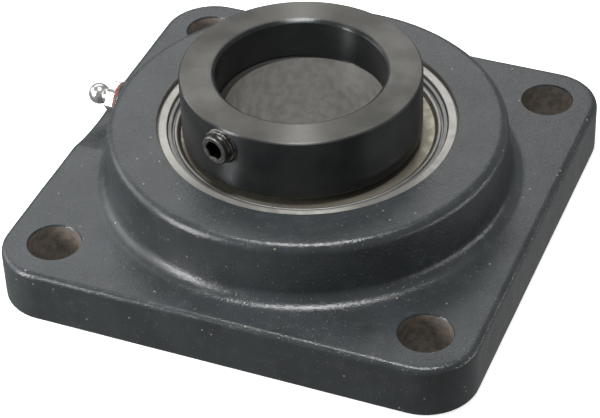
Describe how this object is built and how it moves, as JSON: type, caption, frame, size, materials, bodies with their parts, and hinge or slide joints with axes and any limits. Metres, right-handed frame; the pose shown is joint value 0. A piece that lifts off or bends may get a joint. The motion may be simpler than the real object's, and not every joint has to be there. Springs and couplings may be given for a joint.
{
  "type": "flange mount bearing",
  "caption": "Square bolt-on flange housing with a self-aligning ball bearing insert, eccentric locking collar, set screw and grease fitting, to carry a shaft square to a flat wall.",
  "frame": {"origin": "centre of the bolt pattern on the mounting face", "axes": "+Z out of the flange towards the collar; X and Y along the flange's sides, with the grease fitting on the -X side"},
  "size_m": [0.1357, 0.1334, 0.05],
  "materials": {
    "painted_iron": "blue-grey paint over rough cast iron",
    "zinc_plate": "bright zinc plate",
    "red_fibre": "red fibre, matt",
    "bright_steel": "polished",
    "spring_wire": "drawn wire",
    "ground_steel": "ground",
    "shield_steel": "plated, faint tan",
    "seal_rubber": "matt",
    "cage_steel": "pressed sheet",
    "black_oxide": "black oxide, worn on the end face",
    "screw_steel": "black oxide, worn on thread crests"
  },
  "bodies": {
    "housing": {"housing": "painted_iron", "grease_fitting": "zinc_plate", "fitting_washer": "red_fibre", "grease_spring": "spring_wire"},
    "check_ball": {"grease_check_ball": "bright_steel"},
    "pin": {"anti_rotation_pin": "bright_steel"},
    "outer_ring": {"outer_ring": "ground_steel", "front_seal_shield": "shield_steel", "front_seal_lip": "seal_rubber", "rear_seal_shield": "shield_steel", "rear_seal_lip": "seal_rubber"},
    "inner_ring": {"inner_ring": "ground_steel"},
    "cage": {"cage_front": "cage_steel", "cage_rear": "cage_steel", "cage_rivets": "cage_steel"},
    "ball_1": {"ball_1": "bright_steel"},
    "ball_2": {"ball_2": "bright_steel"},
    "ball_3": {"ball_3": "bright_steel"},
    "ball_4": {"ball_4": "bright_steel"},
    "ball_5": {"ball_5": "bright_steel"},
    "ball_6": {"ball_6": "bright_steel"},
    "ball_7": {"ball_7": "bright_steel"},
    "ball_8": {"ball_8": "bright_steel"},
    "ball_9": {"ball_9": "bright_steel"},
    "collar": {"locking_collar": "black_oxide"},
    "set_screw": {"set_screw": "screw_steel"}
  },
  "joints": [
    {"name": "insert_tilt_y", "type": "hinge", "parent": "housing", "child": "pin", "pos_m": [0, 0, 0.02135], "axis": [0, 1, 0], "range_deg": [-3, 3]},
    {"name": "insert_tilt_x", "type": "hinge", "parent": "pin", "child": "outer_ring", "pos_m": [0, 0, 0.02135], "axis": [1, 0, 0], "range_deg": [-3, 3]},
    {"name": "shaft_spin", "type": "hinge", "parent": "outer_ring", "child": "inner_ring", "pos_m": [0, 0, 0.02135], "axis": [0, 0, 1], "continuous": true},
    {"name": "cage_spin", "type": "hinge", "parent": "outer_ring", "child": "cage", "pos_m": [0, 0, 0.02135], "axis": [0, 0, 1], "continuous": true},
    {"name": "ball_1_spin", "type": "hinge", "parent": "cage", "child": "ball_1", "pos_m": [0.0325, 0, 0.02135], "axis": [0, 0, 1], "continuous": true},
    {"name": "ball_2_spin", "type": "hinge", "parent": "cage", "child": "ball_2", "pos_m": [0.0249, 0.02089, 0.02135], "axis": [0, 0, 1], "continuous": true},
    {"name": "ball_3_spin", "type": "hinge", "parent": "cage", "child": "ball_3", "pos_m": [0.00564, 0.03201, 0.02135], "axis": [0, 0, 1], "continuous": true},
    {"name": "ball_4_spin", "type": "hinge", "parent": "cage", "child": "ball_4", "pos_m": [-0.01625, 0.02815, 0.02135], "axis": [0, 0, 1], "continuous": true},
    {"name": "ball_5_spin", "type": "hinge", "parent": "cage", "child": "ball_5", "pos_m": [-0.03054, 0.01112, 0.02135], "axis": [0, 0, 1], "continuous": true},
    {"name": "ball_6_spin", "type": "hinge", "parent": "cage", "child": "ball_6", "pos_m": [-0.03054, -0.01112, 0.02135], "axis": [0, 0, 1], "continuous": true},
    {"name": "ball_7_spin", "type": "hinge", "parent": "cage", "child": "ball_7", "pos_m": [-0.01625, -0.02815, 0.02135], "axis": [0, 0, 1], "continuous": true},
    {"name": "ball_8_spin", "type": "hinge", "parent": "cage", "child": "ball_8", "pos_m": [0.00564, -0.03201, 0.02135], "axis": [0, 0, 1], "continuous": true},
    {"name": "ball_9_spin", "type": "hinge", "parent": "cage", "child": "ball_9", "pos_m": [0.0249, -0.02089, 0.02135], "axis": [0, 0, 1], "continuous": true},
    {"name": "collar_lock", "type": "hinge", "parent": "inner_ring", "child": "collar", "pos_m": [-0.00029, -0.00074, 0.02135], "axis": [0, 0, 1], "continuous": true},
    {"name": "set_screw_travel", "type": "slide", "parent": "collar", "child": "set_screw", "axis": [0.3057, 0.9521, 0], "range_m": [-0.006, 0.0006]},
    {"name": "check_ball_travel", "type": "slide", "parent": "housing", "child": "check_ball", "axis": [0.9969, -0.0785, 0], "range_m": [0, 0.001], "stiffness_N_per_m": 200, "springref_m": -0.0005, "deforming": ["grease_spring"]}
  ],
  "couplings": [
    {"joint": "cage_spin", "follows": "shaft_spin", "ratio": 0.40231},
    {"joint": "ball_1_spin", "follows": "shaft_spin", "ratio": -2.4614},
    {"joint": "ball_2_spin", "follows": "shaft_spin", "ratio": -2.4614},
    {"joint": "ball_3_spin", "follows": "shaft_spin", "ratio": -2.4614},
    {"joint": "ball_4_spin", "follows": "shaft_spin", "ratio": -2.4614},
    {"joint": "ball_5_spin", "follows": "shaft_spin", "ratio": -2.4614},
    {"joint": "ball_6_spin", "follows": "shaft_spin", "ratio": -2.4614},
    {"joint": "ball_7_spin", "follows": "shaft_spin", "ratio": -2.4614},
    {"joint": "ball_8_spin", "follows": "shaft_spin", "ratio": -2.4614},
    {"joint": "ball_9_spin", "follows": "shaft_spin", "ratio": -2.4614}
  ]
}
